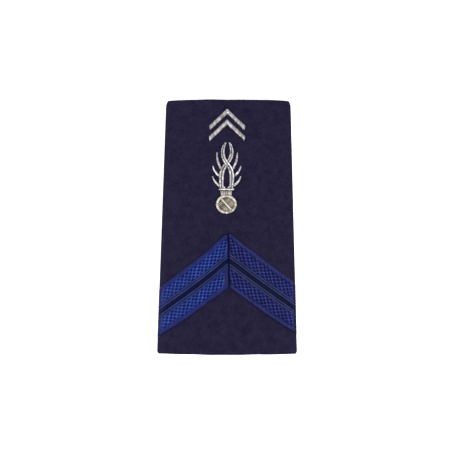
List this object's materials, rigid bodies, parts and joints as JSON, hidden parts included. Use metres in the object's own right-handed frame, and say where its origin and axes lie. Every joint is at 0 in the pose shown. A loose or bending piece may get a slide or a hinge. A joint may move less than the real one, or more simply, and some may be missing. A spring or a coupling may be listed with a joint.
{
  "type": "rank slide",
  "caption": "Flattened navy cloth sleeve that slips over a shoulder strap, with a blue braid chevron, silver embroidered chevrons and a flaming grenade.",
  "frame": {"origin": "on the resting back face, midway along and across the slide", "axes": "+Y along the slide towards its narrow end, +Z out of the decorated front, +X to the right seen from the front"},
  "size_m": [0.0546, 0.1, 0.0096],
  "materials": {
    "navy_cloth": "fine, dull milled wool cloth",
    "blue_braid": "lustrous royal blue woven braid",
    "black_stripe": "flat black woven stripe",
    "silver_thread": "bright silver metallised embroidery thread"
  },
  "bodies": {
    "root": {"sleeve": "navy_cloth", "braid_left": "blue_braid", "braid_right": "blue_braid", "braid_stripe_left": "black_stripe", "braid_stripe_right": "black_stripe", "silver_chevron_upper": "silver_thread", "silver_chevron_lower": "silver_thread", "flame_main_left": "silver_thread", "flame_main_right": "silver_thread", "flame_upper_left": "silver_thread", "flame_upper_right": "silver_thread", "flame_middle_left": "silver_thread", "flame_middle_right": "silver_thread", "flame_lower_left": "silver_thread", "flame_lower_right": "silver_thread", "grenade_collar": "silver_thread", "grenade_neck": "silver_thread", "grenade_ball_rim": "silver_thread", "grenade_ball_ridge": "silver_thread", "grenade_ball_fill": "silver_thread"}
  },
  "joints": []
}
